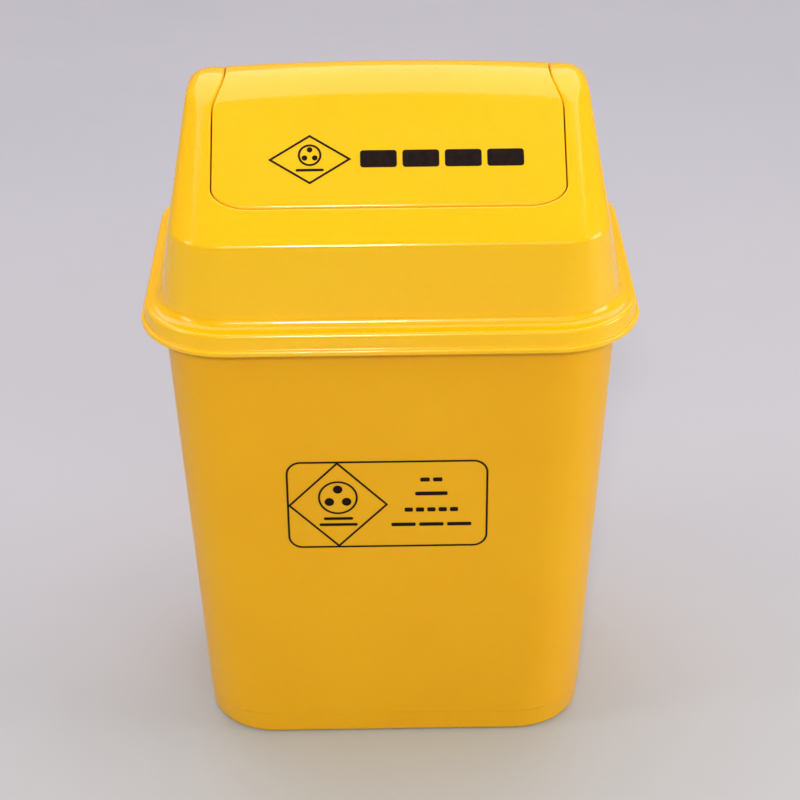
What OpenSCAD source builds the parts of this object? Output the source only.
// Swing-top waste bin. A tapered bucket carries a lift-off hood, and a saddle-shaped flap
// swings on two pins under the crest of the hood.
// Millimetres, +Z up, front towards -Y. The origin is the centre of the resting face.

/* [Overall] */
// Width over the bead of the hood
hood_w = 330; // [320:1:345]
// Depth over the bead of the hood
hood_d = 245.6; // [240:0.2:250]
// Height of the crest above the floor
crest_z = 475; // [470:0.2:480]
// Height of the lower edge of the hood's skirt
skirt_z = 327; // [320:0.2:330]

/* [Bucket] */
// How far the bead stands out past the bucket wall below it
overhang = 15.5; // [15.2:0.1:16]
// Taper of each wall between the floor and the skirt
taper = 14.7; // [10:0.1:18]
// Wall thickness of the bucket
bucket_wall = 2.2; // [1.8:0.1:2.6]
// Height of the stepped foot
foot_h = 17; // [12:0.5:20]

/* [Hood] */
// Wall thickness of the hood
hood_wall = 2.2; // [2:0.1:2.4]
// Width of the shelf from the bead to the dome wall
shelf_w = 13; // [12.8:0.1:13.4]
// Slope of the roof from the horizontal, in degrees
roof_angle = 42.1; // [41:0.1:44]
// Radius of the crest
crest_r = 43.3; // [41:0.1:45]

/* [Flap] */
// Half the width of the flap's panels
flap_half_w = 113.5; // [111:0.5:115]
// Distance from the pivot axis to the flap's lower edges
flap_reach = 93; // [90:0.1:94]
// Rounding of the flap's corners, measured across the flap
corner_across = 24; // [14:1:28]
// Rounding of the flap's corners, measured along its sides
corner_along = 14; // [10:1:24]
// Gap between the flap's sides and the hood
flap_gap = 0.8; // [0.6:0.1:1.6]
// Gap between the flap's lower edges and the hood
edge_gap = 0.4; // [0.4:0.1:0.8]
// Depth of the pivot axis below the crest
pivot_drop = 20.8; // [20:0.2:22]
// Radius of the pivot pins
pin_r = 4; // [3:0.1:4.6]
// Rise of the middle of the crest above its ends
crown = 3.6; // [0:0.1:4]

/* [Print] */
// Thickness of the printed ink
ink_t = 0.12; // [0.1:0.02:0.3]
// Width of the printed lines
line_w = 1.4; // [0.8:0.1:2]

/* [Hidden] */
yellow = [0.98, 0.77, 0.13];
ink = [0.05, 0.05, 0.05];
pin_white = [0.9, 0.89, 0.84];
corner_steps = 8;         // facets in a quarter corner
eps = 0.01;               // hair gap between the ink and its wall
run_clear = 0.08;         // running clearance of the pins
rest_gap = 0.3;           // gap between the bucket rim and the shelf that rests on it
$fn = 64;

// bucket
floor_hx = hood_w / 2 - overhang - taper;   // half width at the floor
floor_hy = hood_d / 2 - overhang - taper;   // half depth at the floor
slope_per_mm = taper / skirt_z;
floor_corner_r = 46.3;
top_corner_r = 41.4;
floor_t = 2.6;
foot_step = 0.2;          // how far the foot stands back from the flat of the wall above it
foot_round = 2.5;         // how much larger the foot's corner radius is than the wall's
foot_blend = 1.4;         // height over which the foot meets the wall
rim_out = 8;              // how far the rim stands out from the wall
rim_lip = 9;              // depth of the rim's turned-down lip

// hood
bead_corner_r = 59.2;
shelf_z = skirt_z + 15.1;
shelf_t = 2.4;
rim_z = shelf_z - shelf_t - rest_gap;
front_draft = 6.4;
cheek_draft = 9.2;
fold_r = 4.5;             // radius where the front wall turns into the roof
ear_r = 15;               // radius of the outer shoulder at the crest
crest_corner_r = 16;      // plan corner radius near the crest
crest_c = crest_z - crest_r;                // height of the crest arc's centre
wall_k = (hood_d / 2 - shelf_w) * cos(front_draft) + shelf_z * sin(front_draft);
roof_k = crest_r + crest_c * cos(roof_angle);
cheek_k = (hood_w / 2 - shelf_w) * cos(cheek_draft) + shelf_z * sin(cheek_draft);
fold_det = sin(roof_angle) * sin(front_draft) - cos(roof_angle) * cos(front_draft);
fold_y = ((roof_k - fold_r) * sin(front_draft) - (wall_k - fold_r) * cos(roof_angle)) / fold_det;
fold_z = ((wall_k - fold_r) * sin(roof_angle) - (roof_k - fold_r) * cos(front_draft)) / fold_det;
ear_z = crest_z - ear_r;
ear_x = (cheek_k - ear_r - ear_z * sin(cheek_draft)) / cos(cheek_draft);

// flap and pivot
pivot_z = crest_z - pivot_drop;
flap_wall = 2.2;
flap_skirt = 9;           // depth of the flap's turned-in edges
edge_inset = 0.05;        // how far those edges stand back from the rim of the skin
flare_w = 7.7;            // how much each side widens between the hubs and the panels
flare_l = 15;             // length of that flare, outwards from the axis
flare_r = pivot_drop - 2.5;                 // where the flare starts
hub_half_w = flap_half_w - flare_w;         // half width of the flap at its hubs
lip_depth = 9;            // depth of the hood's turned-in lip
web_r = 58;               // radius of the web that carries the bearing and the stop
stop_r = 6;
stop_drop = 50;
pin_head_r = 6;
sleeve_r = 7.5;

// ---------- outlines ----------

// One horizontal ring of a rounded rectangle, anticlockwise.
function ring(hx, hy, r, z) = [
    for (q = [0:3], i = [0:corner_steps])
        let (a = 90 * q + 90 * i / corner_steps, sx = (q == 0 || q == 3) ? 1 : -1, sy = q < 2 ? 1 : -1)
        [sx * (hx - r) + r * cos(a), sy * (hy - r) + r * sin(a), z]
];

// Half depth of the dome at height z, moved inwards by o.
function dome_y(z, o) =
    z > crest_c + (crest_r - o) * cos(roof_angle) ? sqrt(max(0, pow(crest_r - o, 2) - pow(z - crest_c, 2)))
    : z > fold_z + (fold_r - o) * cos(roof_angle) ? (roof_k - o - z * cos(roof_angle)) / sin(roof_angle)
    : z > fold_z + (fold_r - o) * sin(front_draft) ? fold_y + sqrt(pow(fold_r - o, 2) - pow(z - fold_z, 2))
    : (wall_k - o - z * sin(front_draft)) / cos(front_draft);

// Half width of the dome at height z, moved inwards by o.
function dome_x(z, o) =
    z > ear_z + (ear_r - o) * sin(cheek_draft) ? ear_x + sqrt(max(0, pow(ear_r - o, 2) - pow(z - ear_z, 2)))
    : (cheek_k - o - z * sin(cheek_draft)) / cos(cheek_draft);

// Plan corner radius of the dome at height z, moved inwards by o.
function dome_r(z, o) =
    let (foot_r = bead_corner_r - shelf_w, u = (z - shelf_z) / (crest_z - shelf_z))
    min(foot_r + (crest_corner_r - foot_r) * u - o, 0.9 * dome_y(z, o));

// Heights at which the dome is sampled, from the shelf up to the crest.
function dome_heights(o) = concat(
    [for (a = [0:5]) fold_z + (fold_r - o) * sin(front_draft + (90 - roof_angle - front_draft) * a / 5)],
    [for (u = [0.25, 0.5, 0.75])
        fold_z + (fold_r - o) * cos(roof_angle) * (1 - u) + (crest_c + (crest_r - o) * cos(roof_angle) - fold_z) * u],
    [for (a = [roof_angle : -roof_angle / 10 : roof_angle / 20]) crest_c + (crest_r - o) * cos(a)],
    [crest_z - o - 0.02]
);

function dome_rings(o) = [for (z = dome_heights(o)) ring(dome_x(z, o), dome_y(z, o), dome_r(z, o), z)];

// Rings measured inwards from the bead: each entry is [inset, height].
function bead_rings(path) = [
    for (p = path) ring(hood_w / 2 - p[0], hood_d / 2 - p[0], bead_corner_r - p[0], p[1])
];

// Rings measured outwards from the bucket wall: each entry is [outset, height].
function bucket_rings(path) = [
    for (p = path)
        let (
            u = p[1] / skirt_z,
            grow = p[0] + slope_per_mm * p[1],
            rounder = foot_round * max(0, min(1, (foot_h + foot_blend - p[1]) / foot_blend)),
            r = floor_corner_r + (top_corner_r - floor_corner_r) * u + p[0] + rounder
        )
        ring(floor_hx + grow, floor_hy + grow, r, p[1])
];

// A closed solid through a list of rings, with a cap on the first and the last.
module loft(rings) {
    n = len(rings[0]);
    m = len(rings);
    sides = [
        for (k = [0:m - 2], i = [0:n - 1], half = [0, 1])
            let (a = k * n + i, b = k * n + (i + 1) % n)
            half == 0 ? [a, a + n, b + n] : [a, b + n, b]
    ];
    caps = [[for (i = [0:n - 1]) i], [for (i = [n - 1:-1:0]) (m - 1) * n + i]];
    polyhedron([for (r = rings) each r], concat(caps, sides), convexity = 8);
}

// ---------- bucket ----------

// The moulded bucket: stepped foot, tapered wall and a rim with a turned-down lip.
module bucket() {
    wall = bucket_wall;
    outside = [
        [-4.1, 0], [-2, 0.6], [-0.7, 2], [-foot_step, 4.2], [-foot_step, foot_h], [0, foot_h + foot_blend],
        [0, rim_z - 5.4], [0.8, rim_z - 3.4], [2.4, rim_z - 2.6],
        [rim_out - 3.2, rim_z - 2.6], [rim_out - 2.2, rim_z - 3.6], [rim_out - 2, rim_z - rim_lip],
        [rim_out - 0.2, rim_z - rim_lip - 0.2], [rim_out, rim_z - 2.6], [rim_out - 0.8, rim_z - 0.8],
        [rim_out - 2.6, rim_z]
    ];
    inside = [
        [1.4, rim_z], [-0.6, rim_z - 0.6], [-wall + 0.3, rim_z - 2], [-wall, rim_z - 4],
        [-wall, 11], [-wall - 0.9, 6.4], [-wall - 3.2, 3.6], [-wall - 8, floor_t]
    ];
    color(yellow) loft(bucket_rings(concat(outside, inside)));
}

// ---------- hood ----------

// The whole hood as one skin, before the opening is cut: inner side down, outer side up.
module hood_skin() {
    t = hood_wall;
    inner_dome = dome_rings(t);
    under = [
        [shelf_w + t + 0.2, shelf_z + 3], [shelf_w + t - 0.6, shelf_z - 1], [shelf_w + 0.8, shelf_z - shelf_t + 0.2],
        [shelf_w - 0.6, shelf_z - shelf_t], [6.8, shelf_z - shelf_t], [5.4, shelf_z - 3.2], [4.9, shelf_z - 4.8],
        [4.6, skirt_z + 1.2], [4.1, skirt_z]
    ];
    over = [
        [1.3, skirt_z], [0.4, skirt_z + 0.3], [0, skirt_z + 1.1], [0, skirt_z + 2.4], [0.4, skirt_z + 3.2],
        [1.4, skirt_z + 3.8], [2.2, skirt_z + 4.2], [2.4, skirt_z + 5.2], [2.8, skirt_z + 11.6],
        [3.2, skirt_z + 13.2], [4.1, skirt_z + 14.2], [5.2, skirt_z + 14.6], [7, skirt_z + 14.8],
        [9.6, skirt_z + 15.6], [11.9, skirt_z + 17.7], [13.1, skirt_z + 20.6]
    ];
    foot_z = shelf_z + 8;
    foot = ring(dome_x(foot_z, 0), dome_y(foot_z, 0), dome_r(foot_z, 0), foot_z);
    inner = [for (i = [len(inner_dome) - 1:-1:0]) inner_dome[i]];
    loft(concat(inner, bead_rings(under), bead_rings(over), [foot], dome_rings(0)));
}

// What the flap sweeps as it turns: half width against distance from the axis. It is grown by
// g at the sides and by edge at the lower edges.
module swept(g, edge) {
    half = [
        [0, hub_half_w + g],
        for (u = [0:1/4:1])
            let (slope = 6 * u * (1 - u) * flare_w / flare_l)
            [flare_r + flare_l * u, hub_half_w + flare_w * u * u * (3 - 2 * u) + g * sqrt(1 + slope * slope)],
        for (a = [0:15:90])
            [flap_reach - corner_along + (corner_along + edge) * sin(a),
             flap_half_w - corner_across + (corner_across + g) * cos(a)]
    ];
    other = [for (i = [len(half) - 1:-1:0]) [half[i][0], -half[i][1]]];
    translate([0, 0, pivot_z]) rotate([0, 90, 0]) rotate_extrude($fn = 96) polygon(concat(half, other));
}

// Side outline of the roof, moved inwards by o, as an (y, z) outline.
module roof_outline(o) {
    r = crest_r - o;
    low = fold_z - 90;
    low_y = (roof_k - o - low * cos(roof_angle)) / sin(roof_angle);
    arc = [for (a = [-roof_angle : roof_angle / 8 : roof_angle]) [r * sin(a), crest_c + r * cos(a)]];
    polygon(concat([[-low_y, low]], arc, [[low_y, low]]));
}

// A (y, z) outline drawn out along X, between x0 and x1.
module along_x(x0, x1) {
    translate([x0, 0, 0]) rotate([90, 0, 90]) linear_extrude(x1 - x0) children();
}

// A round bar along X at height z, between x0 and x1.
module bar_x(r, x0, x1, z) {
    translate([x0, 0, z]) rotate([0, 90, 0]) cylinder(r = r, h = x1 - x0);
}

// The turned-in lip round the opening, with the webs and conical bearing cups at the sides.
module hood_lining() {
    reach = flap_half_w + 8;
    intersection() {
        difference() {
            swept(flap_gap + hood_wall, edge_gap + hood_wall);
            swept(flap_gap, edge_gap);
        }
        along_x(-reach, reach) intersection() {
            roof_outline(0.4);
            union() {
                difference() {
                    roof_outline(0.2);
                    roof_outline(lip_depth);
                }
                translate([0, pivot_z]) circle(r = web_r);
            }
        }
    }
}

// The hood with its opening, bearing sleeves and the stops that limit the swing.
module hood() {
    cup_x = hub_half_w + flap_gap;
    color(yellow) difference() {
        union() {
            difference() {
                hood_skin();
                swept(flap_gap, edge_gap);
            }
            hood_lining();
            for (s = [-1, 1]) mirror([s < 0 ? 1 : 0, 0, 0]) {
                bar_x(sleeve_r, cup_x, cup_x + 8, pivot_z);
                bar_x(stop_r, flap_half_w - 1.4, flap_half_w + flap_gap + 1, pivot_z - stop_drop);
            }
        }
        for (s = [-1, 1]) mirror([s < 0 ? 1 : 0, 0, 0])
            bar_x(pin_r + run_clear, cup_x - 1, cup_x + 9, pivot_z);
    }
}

// ---------- flap ----------

function roof_z(y, o) =
    abs(y) < (crest_r - o) * sin(roof_angle) ? crest_c + sqrt(pow(crest_r - o, 2) - y * y)
    : (roof_k - o - abs(y) * sin(roof_angle)) / cos(roof_angle);

// Extra height of the flap's crest: none at the sides or below the crest.
function crown_z(x, y) =
    let (reach = 1.5 * crest_r * sin(roof_angle), u = min(1, abs(x) / flap_half_w), v = min(1, abs(y) / reach))
    crown * (1 - u * u) * pow(1 - v * v, 2);

// The saddle-shaped skin, larger than the flap on every side.
module flap_slab() {
    reach = flap_half_w + 4;
    side = [95, 70, 44, 40, 36, 32, 28, 24, 20, 16, 12, 8, 4];
    ys = concat([for (y = side) -y], [0], [for (i = [len(side) - 1:-1:0]) side[i]]);
    loft([
        for (i = [-8:8])
            let (x = reach * i / 8)
            concat(
                [for (y = ys) [x, y, roof_z(y, flap_wall) + crown_z(x, y)]],
                [for (k = [len(ys) - 1:-1:0]) [x, ys[k], roof_z(ys[k], 0) + crown_z(x, ys[k])]]
            )
    ]);
}

// The turned-in edges of the flap and the hub plates at its sides.
module flap_edges() {
    intersection() {
        difference() {
            swept(-edge_inset, -edge_inset);
            swept(-flap_wall, -flap_wall);
        }
        along_x(-flap_half_w - 1, flap_half_w + 1) intersection() {
            roof_outline(0.6);
            union() {
                difference() {
                    roof_outline(0.4);
                    roof_outline(flap_skirt);
                }
                translate([0, pivot_z]) circle(r = sleeve_r + 6);
            }
        }
    }
}

// The swing flap with its edges and the hubs that hold the pins.
module flap() {
    color(yellow) difference() {
        union() {
            intersection() {
                flap_slab();
                swept(0, 0);
            }
            flap_edges();
            for (s = [-1, 1]) mirror([s < 0 ? 1 : 0, 0, 0])
                bar_x(sleeve_r, hub_half_w - 8, hub_half_w, pivot_z);
        }
        for (s = [-1, 1]) mirror([s < 0 ? 1 : 0, 0, 0])
            bar_x(pin_r, hub_half_w - 9, hub_half_w + 1, pivot_z);
    }
}

// A headed pin: pressed into the flap's hub from inside and turning in the hood's sleeve.
module pivot_pin() {
    x0 = hub_half_w - 8;
    color(pin_white) {
        bar_x(pin_head_r, x0 - 2.5, x0, pivot_z);
        bar_x(pin_r, x0, hub_half_w + flap_gap + 7, pivot_z);
    }
}

module pivot_pin_left() { mirror([1, 0, 0]) pivot_pin(); }
module pivot_pin_right() { pivot_pin(); }

// ---------- printed graphics ----------

// A plain ring with three dots.
module emblem(r) {
    difference() {
        circle(r = r);
        circle(r = r - line_w);
    }
    for (a = [90, 210, 330]) rotate(a) translate([0.5 * r, 0]) circle(r = 0.24 * r);
}

// A diamond outline of half width hx and half height hy.
module diamond(hx, hy) {
    inner_x = hx - line_w * sqrt(hx * hx + hy * hy) / hy;
    inner_y = hy * inner_x / hx;
    difference() {
        polygon([[hx, 0], [0, hy], [-hx, 0], [0, -hy]]);
        polygon([[inner_x, 0], [0, inner_y], [-inner_x, 0], [0, -inner_y]]);
    }
}

// A solid bar with rounded corners, centred on c.
module bar(c, w, h, r) {
    translate(c) {
        square([w - 2 * r, h], center = true);
        square([w, h - 2 * r], center = true);
        for (x = [-1, 1], y = [-1, 1]) translate([x * (w / 2 - r), y * (h / 2 - r)]) circle(r = r);
    }
}

// The framed panel on the front of the bucket.
module bucket_print() {
    panel_w = 136.4;
    panel_h = 71;
    mark_r = 34;
    text_x = 29.8;
    lean = atan(slope_per_mm);
    // rows of plain bars: height on the panel, thickness, number, width and spacing
    rows = [[20, 3.2, 2, 6.4, 8.6], [8.6, 3, 1, 22, 0], [-4.6, 3.4, 5, 5.6, 7.7], [-16.8, 2.8, 3, 16.6, 19]];
    color(ink) translate([0, -floor_hy, 0]) rotate([90 + lean, 0, 0]) translate([-3.7, 201.3, eps]) linear_extrude(ink_t) {
        difference() {
            bar([0, 0], panel_w, panel_h, 10);
            bar([0, 0], panel_w - 2 * line_w, panel_h - 2 * line_w, 10 - line_w);
        }
        // the diamond's left tip lies in the middle of the frame's line
        translate([mark_r - panel_w / 2 + line_w / 2, 0]) {
            diamond(mark_r, mark_r + 1);
            translate([0, 6]) emblem(13.5);
            bar([0, -11.2], 20, 2.2, 1);
            bar([0, -16.2], 26, 2.2, 1);
        }
        for (row = rows, i = [0:row[2] - 1])
            bar([text_x + (i - (row[2] - 1) / 2) * row[4], row[0]], row[3], row[1], 1);
    }
}

// The diamond and the row of plain blocks on the front of the flap.
module flap_print() {
    mark_x = -50.6;
    mid = 33.3;           // height of the row above the flap's lower edge, along the slope
    s = sqrt(flap_reach * flap_reach - pow((roof_k - pivot_z * cos(roof_angle)), 2));
    foot = roof_k - pivot_z * cos(roof_angle);
    color(ink) translate([0, -foot * sin(roof_angle), pivot_z + foot * cos(roof_angle)])
        rotate([roof_angle, 0, 0]) translate([0, mid - s, eps]) linear_extrude(ink_t) {
            translate([mark_x, 0]) {
                diamond(26.8, 17.3);
                translate([0, 3]) emblem(7.6);
                bar([0, -7.4], 18, 1.8, 0.8);
            }
            for (i = [0:3]) bar([-6.5 + 27.2 * i, 0], 23.6, 12, 2);
        }
}

// ---------- assembly ----------

bucket();
bucket_print();
hood();
flap();
flap_print();
pivot_pin_left();
pivot_pin_right();
